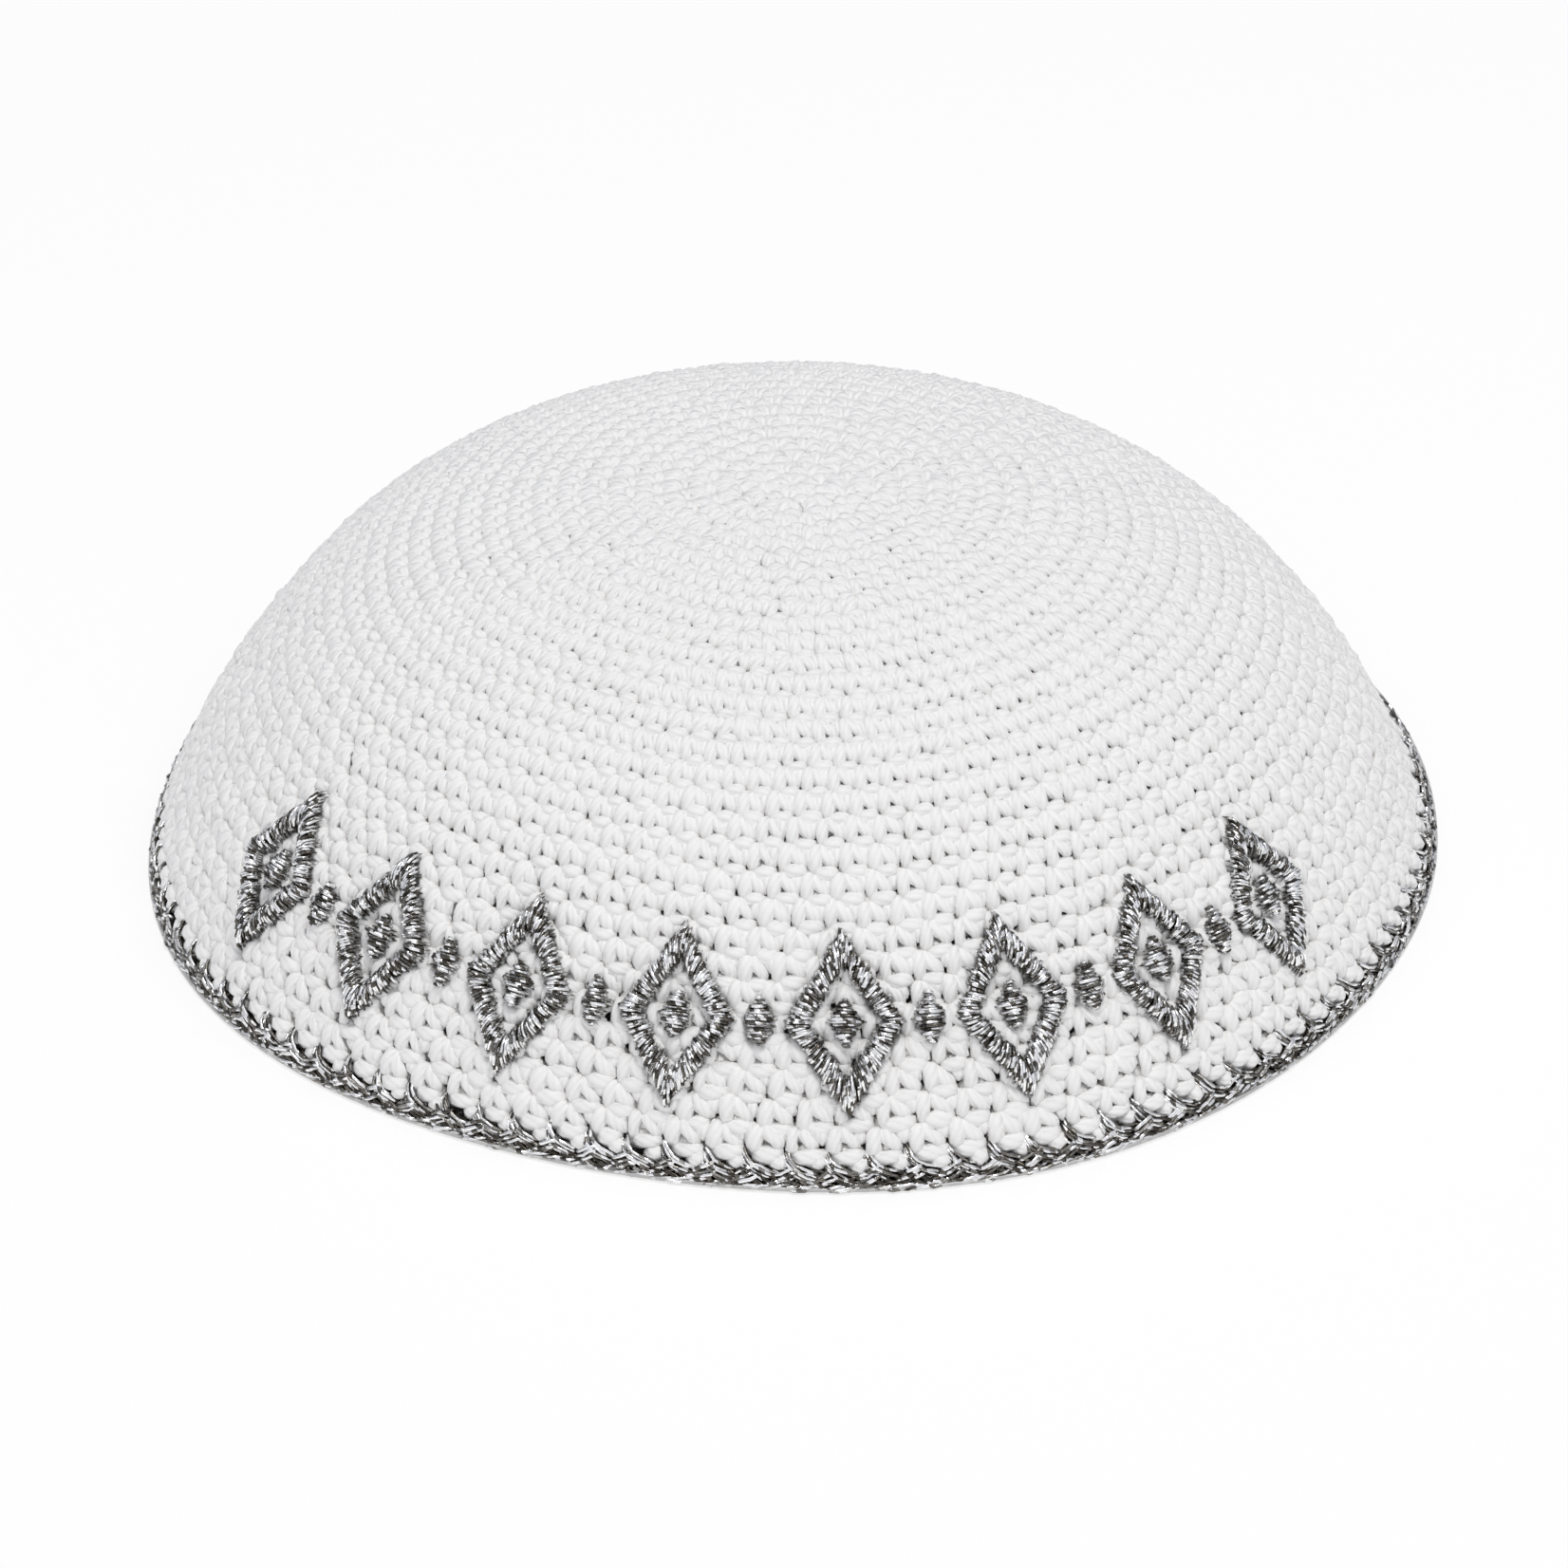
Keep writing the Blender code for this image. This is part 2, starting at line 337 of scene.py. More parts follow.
@dataclass
class Bundle:
    """Swept strands gathered as arrays, ready to become one mesh."""

    points: list[np.ndarray] = field(default_factory=list)
    quads: list[np.ndarray] = field(default_factory=list)
    triangles: list[np.ndarray] = field(default_factory=list)
    quad_uvs: list[np.ndarray] = field(default_factory=list)
    triangle_uvs: list[np.ndarray] = field(default_factory=list)
    tints: list[np.ndarray] = field(default_factory=list)
    count: int = 0

    def sweep(
        self,
        paths: np.ndarray,
        half_widths: np.ndarray,
        half_heights: np.ndarray,
        ups: np.ndarray,
        sides: int,
        tints: np.ndarray,
        squeeze: float = 0.0,
        lay_mm: float = 1.0,
    ) -> None:
        """Sweeps an oval along each path and closes both ends to a tip.

        Each ring is the path's point plus cosine times the half width to the side plus sine
        times the half height upwards. The side is square to the path and to the cloth's normal,
        so that a strand that dives into the cloth doesn't twist. Both halves are times 1 plus the
        squeeze times a cosine, whose angle is twice the ring's plus a turn for each lay so far.

        Args:
            paths: Centre lines, strands by rings by 3.
            half_widths: Half of the oval along the cloth, strands by rings.
            half_heights: Half of the oval off the cloth, strands by rings.
            ups: The cloth's normal for each strand, strands by 3.
            sides: Corners of the oval.
            tints: A random share for each strand, kept as an attribute.
            squeeze: How far from round the yarn is. Its long side turns as it goes along.
            lay_mm: How far along the yarn its long side takes to turn half round.
        """
        strands, rings = paths.shape[:2]
        tangents = np.gradient(paths, axis=1)
        tangents /= np.linalg.norm(tangents, axis=-1, keepdims=True)
        side = np.cross(tangents, ups[:, None, :])
        side /= np.linalg.norm(side, axis=-1, keepdims=True)
        up = np.cross(side, tangents)
        steps = np.linalg.norm(np.diff(paths, axis=1), axis=-1)
        length = np.concatenate([np.zeros((strands, 1)), np.cumsum(steps, axis=1)], axis=1) / MM
        angle = np.arange(sides) * (math.tau / sides)
        turned = 2 * angle + math.tau * (length[:, 1:-1, None] / lay_mm + tints[:, None, None])
        swell = 1 + squeeze * np.cos(turned)
        ring = (
            paths[:, 1:-1, None, :]
            + (swell * half_widths[:, 1:-1, None] * np.cos(angle))[..., None] * side[:, 1:-1, None, :]
            + (swell * half_heights[:, 1:-1, None] * np.sin(angle))[..., None] * up[:, 1:-1, None, :]
        )
        inner = rings - 2
        block = inner * sides + 2
        ring = ring.reshape(strands, inner * sides, 3)
        points = np.concatenate([ring, paths[:, :1], paths[:, -1:]], axis=1)
        quad, rows, turns = grid(inner, sides, closed=False)
        along = length[:, rows + 1]
        corner = np.arange(sides)
        following = (corner + 1) % sides
        first = np.stack([np.full(sides, inner * sides), corner, following], axis=-1)
        last_row = (inner - 1) * sides
        last_tip = np.full(sides, inner * sides + 1)
        last = np.stack([last_tip, last_row + following, last_row + corner], axis=-1)
        offset = self.count + np.arange(strands)[:, None, None] * block
        self.points.append(points.reshape(-1, 3))
        self.quads.append((quad[None] + offset).reshape(-1, 4))
        self.triangles.append((np.concatenate([first, last])[None] + offset).reshape(-1, 3))
        self.quad_uvs.append(np.stack([along, np.broadcast_to(turns, along.shape)], axis=-1).reshape(-1, 2))
        self.triangle_uvs.append(self.tip_uvs(length, inner, sides))
        self.tints.append(np.repeat(tints, block))
        self.count += strands * block

    def wrap(self, points: np.ndarray, tint: float) -> None:
        """Adds a skin that closes on itself both ways, such as a ring of some section.

        Its UVs are the way round the ring in millimetres, by the mean step, and the share round
        the section.

        Args:
            points: Grid of points, round the ring by round the section by 3.
            tint: The share that every point gets.
        """
        around, section = points.shape[:2]
        quad, rows, turns = grid(around, section, closed=True)
        step = float(np.mean(np.linalg.norm(np.diff(points, axis=0), axis=-1))) / MM
        self.points.append(points.reshape(-1, 3))
        self.quads.append(quad + self.count)
        self.quad_uvs.append(np.stack([rows * step, turns], axis=-1).reshape(-1, 2))
        self.tints.append(np.full(around * section, tint))
        self.count += around * section

    @staticmethod
    def tip_uvs(length: np.ndarray, inner: int, sides: int) -> np.ndarray:
        """UVs of the fans that close a tube's two ends: the way along in millimetres, the share round."""
        corner = np.arange(sides)
        first_turns = np.stack([corner + 0.5, corner, corner + 1], axis=-1) / sides
        last_turns = np.stack([corner + 0.5, corner + 1, corner], axis=-1) / sides
        turns = np.concatenate([first_turns, last_turns])
        first_rows = np.tile([0, 1, 1], (sides, 1))
        last_rows = np.tile([inner + 1, inner, inner], (sides, 1))
        along = length[:, np.concatenate([first_rows, last_rows])]
        return np.stack([along, np.broadcast_to(turns, along.shape)], axis=-1).reshape(-1, 2)

    def to_piece(self, name: str, material: bpy.types.Material, replaced: str, slot: str) -> None:
        """Makes one smooth mesh piece, at the world's origin, of all that was swept.

        Args:
            name: The piece's name.
            material: The finish that it wears.
            replaced: The node that it stands for.
            slot: The record's material slot of its finish. Not used.
        """
        quads = np.concatenate(self.quads)
        triangles = np.concatenate(self.triangles) if self.triangles else np.empty((0, 3), dtype=int)
        corners = np.concatenate([quads.ravel(), triangles.ravel()])
        fans_start = len(quads) * 4
        starts = np.concatenate([np.arange(len(quads)) * 4, fans_start + np.arange(len(triangles)) * 3])
        mesh = bpy.data.meshes.new(name)
        mesh.vertices.add(self.count)
        mesh.vertices.foreach_set("co", np.concatenate(self.points).astype(np.float32).ravel())
        mesh.loops.add(len(corners))
        mesh.loops.foreach_set("vertex_index", corners.astype(np.int32))
        mesh.polygons.add(len(starts))
        mesh.polygons.foreach_set("loop_start", starts.astype(np.int32))
        mesh.polygons.foreach_set("use_smooth", np.ones(len(starts), dtype=bool))
        mesh.update(calc_edges=True)
        uvs = np.concatenate(self.quad_uvs + self.triangle_uvs).astype(np.float32)
        mesh.uv_layers.new(name="yarn").data.foreach_set("uv", uvs.ravel())
        tint = mesh.attributes.new("tint", "FLOAT", "POINT")
        tint.data.foreach_set("value", np.concatenate(self.tints).astype(np.float32))
        mesh.validate()
        mesh.materials.append(material)
        piece = bpy.data.objects.new(name, mesh)
        bpy.context.collection.objects.link(piece)
        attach(piece, "root")
        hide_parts(replaced)
        LOG.info("%s: %d triangles", name, 2 * len(quads) + len(triangles))


@dataclass(frozen=True)
class CottonYarn:
    """Mercerised crochet cotton, spun and plied: a dull lustre, with plies as faint slanting ridges.

    The lay is the length in which the plies turn once. The fibres are drawn coarser than real
    ones, so that they show in the render, and the colours are lighter, so that the creases are
    as light as where light passes through the yarn.
    """

    name: str = "crochet_cotton"
    slot: str = "white_cotton"
    light: str = "F7F6F4"
    # The grooves' colour is painted shade in the creases between the plies.
    painted_groove_shade: str = "F4F3F0"
    roughness: float = 0.62
    sheen: float = 0.15
    specular: float = 0.5
    plies: float = 5.0
    lay_mm: float = 8.0
    fibre_mm: float = 0.12
    fibre_stretch: float = 0.5
    fibre_detail: float = 2.0
    fibre_roughness: float = 0.6
    fibre_height: float = 0.35
    bump_mm: float = 0.11
    bump_strength: float = 0.70
    tint_share: float = 0.25

    def material(self) -> bpy.types.Material:
        """Builds the shader: ply grooves wound round the strand, with fibres along them.

        A point's place across the plies is their number times its share round the strand plus
        its way along over the lay. A ply's height there is the absolute sine of pi times that,
        and noise that is stretched along the strand adds the fibres. Grooves get the darker
        colour, a painted shade in the creases, less so on strands of a high tint.

        Returns:
            The material.
        """
        material, shader = new_material(self.name)
        place = add_node(material, "ShaderNodeUVMap", {"uv_map": "yarn"})
        split = add_node(material, "ShaderNodeSeparateXYZ", in0=place)
        way, share = split.outputs["X"], split.outputs["Y"]
        tint = add_node(material, "ShaderNodeAttribute", {"attribute_name": "tint"})
        multiply = {"operation": "MULTIPLY"}
        multiply_add = {"operation": "MULTIPLY_ADD"}
        turns = add_node(material, "ShaderNodeMath", multiply, in0=share, in1=self.plies)
        wound = add_node(
            material, "ShaderNodeMath", multiply_add, in0=way, in1=self.plies / self.lay_mm, in2=turns
        )
        phase = add_node(material, "ShaderNodeMath", multiply, in0=wound, in1=math.pi)
        wave = add_node(material, "ShaderNodeMath", {"operation": "SINE"}, in0=phase)
        ply = add_node(material, "ShaderNodeMath", {"operation": "ABSOLUTE"}, in0=wave)
        along = add_node(material, "ShaderNodeMath", multiply, in0=way, in1=self.fibre_stretch)
        across = add_node(material, "ShaderNodeMath", multiply, in0=wound, in1=1 / self.fibre_mm)
        fibre_place = add_node(material, "ShaderNodeCombineXYZ", in0=along, in1=across, in2=0.0)
        fibres = add_node(
            material,
            "ShaderNodeTexNoise",
            Vector=fibre_place,
            Scale=1.0,
            Detail=self.fibre_detail,
            Roughness=self.fibre_roughness,
        )
        height = add_node(
            material, "ShaderNodeMath", multiply_add, in0=fibres, in1=self.fibre_height, in2=ply
        )
        bump = add_node(
            material,
            "ShaderNodeBump",
            Height=height,
            Strength=self.bump_strength,
            Distance=self.bump_mm * MM,
        )
        # Painted shade in the ply grooves, eased by each strand's random tint.
        groove_shade_and_tint = add_node(
            material,
            "ShaderNodeMath",
            {"operation": "MULTIPLY_ADD", "use_clamp": True},
            in0=tint.outputs["Fac"],
            in1=self.tint_share,
            in2=ply,
        )
        colour = add_node(
            material,
            "ShaderNodeMix",
            {"data_type": "RGBA"},
            in0=groove_shade_and_tint,
            in6=linear_colour(self.painted_groove_shade),
            in7=linear_colour(self.light),
        )
        fill_inputs(
            material,
            shader,
            Base_Color=colour.outputs[2],
            Normal=bump,
            Roughness=self.roughness,
            Sheen_Weight=self.sheen,
            Specular_IOR_Level=self.specular,
        )
        return material


@dataclass(frozen=True)
class FoilYarn:
    """Metallic yarn: silver foil wound round a core, so each turn is a facet that can glint.

    The turns are as long as they need to be to show in the render. A turn's glint is painted
    into its colour, as are a highlight along the strand's top and shade under it.
    """

    name: str
    slot: str
    turn_mm: float
    # The dark colour is the foil's dark grey tone together with painted shade.
    dark_tone_and_shade: str = "38352F"
    middle: str = "645F58"
    # The bright colour is a painted glint.
    painted_glint: str = "FFFFFF"
    dark_share: float = 0.25
    middle_end: float = 0.92
    painted_glint_share: float = 0.22
    # How far a painted highlight lightens each strand's top and painted shade darkens its underside.
    painted_crest_highlight: float = 0.30
    tint_spread: float = 977.0
    roughness: float = 0.22
    metallic: float = 1.0
    tilt: float = 0.55

    def material(self) -> bpy.types.Material:
        """Builds the shader: each turn of the foil has its own tilt and a painted brightness.

        The turn that a point lies on is its way along the thread over a turn's length, plus its
        share round the thread. Noise by the turn's number and the strand's tint gives it a tilt
        and a value. The value plus a share of the sine of the way round, a painted highlight on
        the strand's top and painted shade under it, picks the colour: the dark tone with painted
        shade, then middle, then a painted glint on the highest.

        Returns:
            The material.
        """
        material, shader = new_material(self.name)
        place = add_node(material, "ShaderNodeUVMap", {"uv_map": "yarn"})
        split = add_node(material, "ShaderNodeSeparateXYZ", in0=place)
        way, share = split.outputs["X"], split.outputs["Y"]
        tint = add_node(material, "ShaderNodeAttribute", {"attribute_name": "tint"})
        multiply = {"operation": "MULTIPLY"}
        multiply_add = {"operation": "MULTIPLY_ADD"}
        turn = add_node(material, "ShaderNodeMath", multiply_add, in0=way, in1=1 / self.turn_mm, in2=share)
        number = add_node(material, "ShaderNodeMath", {"operation": "FLOOR"}, in0=turn)
        strand = add_node(
            material, "ShaderNodeMath", multiply, in0=tint.outputs["Fac"], in1=self.tint_spread
        )
        identity = add_node(material, "ShaderNodeCombineXYZ", in0=number, in1=strand, in2=0.0)
        facet = add_node(material, "ShaderNodeTexWhiteNoise", {"noise_dimensions": "3D"}, Vector=identity)
        angle = add_node(
            material, "ShaderNodeMath", multiply_add, in0=share, in1=math.tau, in2=-math.pi / 2
        )
        # The crest brightens the strand's top and darkens its underside: painted highlight and painted
        # shade.
        crest = add_node(material, "ShaderNodeMath", {"operation": "COSINE"}, in0=angle)
        painted_crest_light = add_node(material, "ShaderNodeMath", multiply, in0=crest, in1=self.painted_crest_highlight)
        painted_shine = add_node(
            material,
            "ShaderNodeMath",
            {"operation": "ADD", "use_clamp": True},
            in0=facet.outputs["Value"],
            in1=painted_crest_light,
        )
        ramp = add_node(material, "ShaderNodeValToRGB", in0=painted_shine)
        stops = ramp.color_ramp.elements
        stops[0].position = self.dark_share
        stops[0].color = linear_colour(self.dark_tone_and_shade)
        stops[1].position = self.middle_end - self.painted_glint_share
        stops[1].color = linear_colour(self.middle)
        stops.new(1 - self.painted_glint_share).color = linear_colour(self.painted_glint)
        centred = add_node(
            material,
            "ShaderNodeVectorMath",
            {"operation": "SUBTRACT"},
            in0=facet.outputs["Color"],
            in1=(0.5, 0.5, 0.5),
        )
        lean = add_node(
            material, "ShaderNodeVectorMath", {"operation": "SCALE"}, in0=centred, Scale=self.tilt
        )
        surface = add_node(material, "ShaderNodeNewGeometry")
        leaning = add_node(
            material,
            "ShaderNodeVectorMath",
            {"operation": "ADD"},
            in0=surface.outputs["Normal"],
            in1=lean,
        )
        normal = add_node(material, "ShaderNodeVectorMath", {"operation": "NORMALIZE"}, in0=leaning)
        fill_inputs(
            material,
            shader,
            Base_Color=ramp,
            Normal=normal,
            Metallic=self.metallic,
            Roughness=self.roughness,
        )
        return material


# The crown's strands, across from the stitch's middle and down from the top of its round.
LEG = Strand(
    knots=(
        Knot(across=-0.22, down=1.14, lift=-2.00, girth=0.90),
        Knot(across=-0.23, down=0.98, lift=-0.95, girth=0.93),
        Knot(across=-0.26, down=0.70, lift=-0.58, girth=0.98),
        Knot(across=-0.24, down=0.42, lift=-0.42, girth=1.00),
        Knot(across=-0.22, down=0.23, lift=-0.80, girth=0.96),
        Knot(across=-0.21, down=0.05, lift=-1.90, girth=0.90),
    ),
    rings=8,
    sides=6,
)
SLANT = Strand(
    knots=(
        Knot(across=-0.14, down=0.10, lift=-1.90, girth=0.86),
        Knot(across=-0.06, down=0.26, lift=-0.92, girth=0.90),
        Knot(across=0.07, down=0.46, lift=-0.54, girth=0.92),
        Knot(across=0.23, down=0.65, lift=-0.48, girth=0.90),
        Knot(across=0.32, down=0.82, lift=-0.74, girth=0.84),
        Knot(across=0.36, down=0.98, lift=-2.00, girth=0.78),
    ),
    rings=8,
    sides=6,
)
HEART = Strand(
    knots=(
        Knot(across=0.05, down=0.78, lift=-1.70, girth=0.46),
        Knot(across=0.05, down=0.93, lift=-0.90, girth=0.54),
        Knot(across=0.05, down=1.07, lift=-1.15, girth=0.54),
    ),
    rings=4,
    sides=5,
)
WEB = Strand(
    knots=(
        Knot(across=-0.62, down=0.14, lift=-1.50, girth=0.90),
        Knot(across=-0.59, down=0.34, lift=-0.66, girth=0.98),
        Knot(across=-0.55, down=0.56, lift=-0.64, girth=0.92),
        Knot(across=-0.52, down=0.75, lift=-0.88, girth=0.68),
        Knot(across=-0.51, down=0.88, lift=-1.90, girth=0.46),
    ),
    rings=6,
    sides=5,
    narrowest=2.9 * MM,
    shortens=0.18,
)
FRONT_LOOP = Strand(
    knots=(
        Knot(across=-0.28, down=1.22, lift=-1.80, girth=0.92),
        Knot(across=-0.15, down=1.20, lift=-0.84, girth=0.96),
        Knot(across=0.11, down=1.14, lift=-0.48, girth=1.02),
        Knot(across=0.35, down=1.09, lift=-0.80, girth=0.94),
        Knot(across=0.45, down=1.07, lift=-1.80, girth=0.88),
    ),
    rings=7,
    sides=6,
)
BACK_LOOP = Strand(
    knots=(
        Knot(across=-0.60, down=1.06, lift=-2.20, girth=0.80),
        Knot(across=-0.22, down=1.06, lift=-1.75, girth=1.25),
        Knot(across=0.22, down=1.06, lift=-1.75, girth=1.25),
        Knot(across=0.60, down=1.06, lift=-2.20, girth=0.80),
    ),
    rings=5,
    sides=5,
)
BACK_BAR = Strand(
    knots=(
        Knot(across=-0.56, down=0.38, lift=-1.85, girth=1.05),
        Knot(across=-0.18, down=0.44, lift=-1.75, girth=1.25),
        Knot(across=0.22, down=0.48, lift=-1.75, girth=1.25),
        Knot(across=0.58, down=0.52, lift=-1.85, girth=1.05),
    ),
    rings=5,
    sides=5,
)
LAST_LOOP = Strand(
    knots=(
        Knot(across=0.12, down=1.36, lift=-1.90, girth=0.80),
        Knot(across=0.22, down=1.42, lift=-0.90, girth=0.95),
        Knot(across=0.36, down=1.44, lift=-0.62, girth=1.05),
        Knot(across=0.50, down=1.40, lift=-0.90, girth=0.95),
        Knot(across=0.58, down=1.32, lift=-1.90, girth=0.80),
    ),
    rings=7,
    sides=6,
)


@dataclass(frozen=True)
class Unevenness:
    """How far handwork strays, as standard deviations where a round's looseness is 1.

    A strand's parts are its own and a stitch's are shared by its strands. Reach is a share of
    the way across, across is in stitch widths, down in pitches and lift in millimetres, and
    girth and lumps are shares of the thickness.
    """

    strand_reach: float = 0.10
    strand_across: float = 0.03
    strand_down: float = 0.045
    strand_girth: float = 0.07
    strand_lift: float = 0.06
    strand_lumps: float = 0.04
    stitch_across: float = 0.025
    stitch_down: float = 0.04
    stitch_girth: float = 0.06
    stitch_lift: float = 0.08


@dataclass(frozen=True)
class Sway:
    """One slow wave of a round up and down the cloth, in lobes round it, that turns with each round."""

    lobes: int
    turn: float
    phase: float
    share: float


@dataclass
class Crown:
    """The crocheted dome, round by round, each stitch of a few visible lengths of yarn.

    A stitch shows its leg, the slant beside it, a heart in the pit between them, a web up to the
    next stitch and the front loop that lies over them as a bar. Its back loop and back bar are
    the wrong side. The yarn is thicker where stitches are wide, by a power "fill" of their width
    against a close stitch's, and in the first rounds, by "fan_fill" over the round's number.
    """

    cloth: Cloth
    rounds: int = 30
    foot_margin: float = 5.0 * MM
    increase: float = 6.7
    full_round: int = 107
    yarn_half_width: float = 0.94 * MM
    yarn_half_height: float = 0.62 * MM
    yarn_squeeze: float = 0.14
    yarn_lay_mm: float = 5.0
    lean: float = 0.23
    bar_down: float = 1.05
    least_arc: float = 0.15 * MM
    close_stitch: float = 3.3 * MM
    fill: float = 0.25
    fan_fill: float = 0.25
    opening_rounds: tuple[int, int] = (20, 26)
    loosening_rounds: tuple[int, int] = (16, 26)
    first_looseness: float = 0.45
    added_looseness: float = 0.40
    last_swelling: float = 0.08
    swells_below: float = 0.8
    sway: float = 0.12 * MM
    sways: tuple[Sway, ...] = (
        Sway(lobes=3, turn=0.9, phase=0.0, share=1.0),
        Sway(lobes=5, turn=-0.6, phase=1.0, share=0.7),
    )
    stray: Unevenness = Unevenness()
    seed: int = 5
    strands: tuple[Strand, ...] = (LEG, SLANT, HEART, WEB, FRONT_LOOP, BACK_LOOP, BACK_BAR)
    last_loop: Strand = LAST_LOOP
    piece_rounds: tuple[tuple[int, int], ...] = ((1, 10), (11, 15), (16, 20), (21, 25), (26, 30))

    def __post_init__(self) -> None:
        """Works out the pitch of the rounds and the azimuths of every hole and front loop.

        A stitch is worked into a hole of the round before, picked in even steps. Its loop is
        its number times the round's width of a stitch, plus the mean way of the holes past
        that and the lean, and the hole that it leaves is half a stitch before its loop.
        """
        self.pitch = (self.cloth.rim_arc - self.foot_margin) / self.rounds
        self.random = np.random.default_rng(self.seed)
        self.holes: dict[int, np.ndarray] = {}
        self.loops: dict[int, np.ndarray] = {}
        gaps = np.array([0.0])
        for number in range(1, self.rounds + 1):
            count = self.stitches_in(number)
            width = math.tau / count
            even = np.arange(count) * width
            parent = np.floor(np.arange(count) * len(gaps) / count).astype(int)
            holes = gaps[parent] if number > 1 else even
            self.holes[number] = holes
            self.loops[number] = even + np.mean(holes - even) + self.lean * width
            gaps = self.loops[number] - 0.5 * width

    def stitches_in(self, number: int) -> int:
        """How many stitches a round has: the increase times its number, up to a full round."""
        return min(self.full_round, round(self.increase * number))

    def add_round(self, bundle: Bundle, number: int) -> None:
        """Sweeps every strand of one round into a bundle.

        A stitch's middle starts a little past the hole that it was worked into and ends at its
        own loop. A strand's azimuth is that middle's plus its own way across in stitch widths,
        and its arc is its round's plus its way down in pitches. In the last rounds a strand that
        shortens loses that share of its way down, which opens the hole below it. Each measure
        strays by its draws times its unevenness times the round's looseness.

        Args:
            bundle: The bundle to fill.
            number: The round, counted from 1 at the apex.
        """
        stray = self.stray
        count = self.stitches_in(number)
        width = math.tau / count
        holes = self.holes[number]
        top = holes + self.lean * width
        leaning = self.loops[number] - top
        start = (number - 1) * self.pitch
        stitch = width * float(self.cloth.radius_at(start + self.pitch))
        fullness = (stitch / self.close_stitch) ** self.fill * (1 + self.fan_fill / number)
        loosened = self.share_through(number, self.loosening_rounds)
        loose = self.first_looseness + self.added_looseness * loosened
        # Six draws a stitch, of which four are used, keep every later draw in its place.
        slack = self.random.normal(0.0, 1.0, (count, 6)) * loose
        sway = self.tension(number, holes)
        opening = self.share_through(number, self.opening_rounds)
        is_last = number == self.rounds
        for strand in self.strands + ((self.last_loop,) if is_last else ()):
            if stitch < strand.narrowest:
                continue
            across, down, lift, girth = strand.sampled()
            down = down[0] + (down - down[0]) * (1 - strand.shortens * opening)
            own = self.random.normal(0.0, 1.0, (count, 5)) * loose
            aside = (
                across * (1 + stray.strand_reach * own[:, :1])
                + stray.strand_across * own[:, 1:2]
                + stray.stitch_across * slack[:, :1]
            )
            azimuth = top[:, None] + leaning[:, None] * down / self.bar_down + aside * width
            below = down + stray.strand_down * own[:, 2:3] + stray.stitch_down * slack[:, 1:2]
            arc = np.maximum(start + below * self.pitch + sway[:, None], self.least_arc)
            lumps = self.random.normal(0.0, 1.0, (count, strand.rings))
            thick = girth * fullness * (
                1
                + stray.stitch_girth * slack[:, 2:3]
                + stray.strand_girth * own[:, 3:4]
                + stray.strand_lumps * lumps
            )
            swelling = self.last_swelling * (down > self.swells_below) if is_last else 0.0
            rise = lift + swelling + stray.stitch_lift * slack[:, 3:4] + stray.strand_lift * own[:, 4:5]
            middle = strand.rings // 2
            bundle.sweep(
                self.cloth.point(arc, azimuth, rise * MM),
                thick * self.yarn_half_width,
                thick * self.yarn_half_height,
                self.cloth.normal(arc[:, middle], azimuth[:, middle]),
                strand.sides,
                self.random.random(count),
                squeeze=self.yarn_squeeze,
                lay_mm=self.yarn_lay_mm,
            )

    @staticmethod
    def share_through(number: int, rounds: tuple[int, int]) -> float:
        """How far a round is through a run of rounds: 0 up to the first and 1 from the last."""
        return float(np.interp(number, rounds, (0.0, 1.0)))

    def tension(self, number: int, azimuth: np.ndarray) -> np.ndarray:
        """How far uneven tension pulls a round down the cloth.

        It is the sum of the sways, each its share times the sine of its lobes times the azimuth
        plus its turn times the round's number plus its phase. That fades to nothing at the apex
        and the rim, by the root of the sine of pi times the way through the rounds.

        Args:
            number: The round.
            azimuth: Where on it.

        Returns:
            The pull at each azimuth, in metres.
        """
        fade = math.sin(math.pi * (number / self.rounds)) ** 0.5
        angles = [row.lobes * azimuth + row.turn * number + row.phase for row in self.sways]
        return self.sway * fade * sum(row.share * np.sin(angle) for row, angle in zip(self.sways, angles))

    def build(self, yarn: CottonYarn) -> None:
        """Builds the crown's pieces, each a few rounds, of one yarn."""
        material = yarn.material()
        for first, last in self.piece_rounds:
            bundle = Bundle()
            for number in range(first, last + 1):
                self.add_round(bundle, number)
            bundle.to_piece(f"crown_rounds_{first}_to_{last}", material, "crown", yarn.slot)


@dataclass(frozen=True)
class Lay:
    """A strand of the edging, laid side by side in every stitch: across in stitches, down in units."""

    strand: Strand
    copies: int
    down_step: float
    across_step: float = 0.0
    per_stitch: int = 1


# The edging's strands, across from the last hole above them and down from the last round's foot.
EDGING_LEG = Strand(
    knots=(
        Knot(across=-0.04, down=-0.60, lift=-2.00, girth=0.90),
        Knot(across=0.00, down=0.20, lift=-0.85, girth=1.00),
        Knot(across=0.07, down=1.00, lift=-0.22, girth=1.15),
        Knot(across=0.22, down=1.75, lift=0.05, girth=1.15),
        Knot(across=0.46, down=2.30, lift=0.10, girth=1.15),
        Knot(across=0.70, down=2.68, lift=-0.10, girth=1.10),
        Knot(across=0.86, down=2.92, lift=-0.80, girth=0.95),
    ),
    rings=9,
    sides=5,
)
CHAIN = Strand(
    knots=(
        Knot(across=-0.24, down=3.35, lift=-0.90, girth=0.90),
        Knot(across=-0.14, down=3.10, lift=-0.10, girth=1.30),
        Knot(across=0.10, down=2.55, lift=0.18, girth=1.50),
        Knot(across=0.32, down=2.08, lift=0.02, girth=1.30),
        Knot(across=0.42, down=1.90, lift=-0.90, girth=0.90),
    ),
    rings=8,
    sides=5,
)
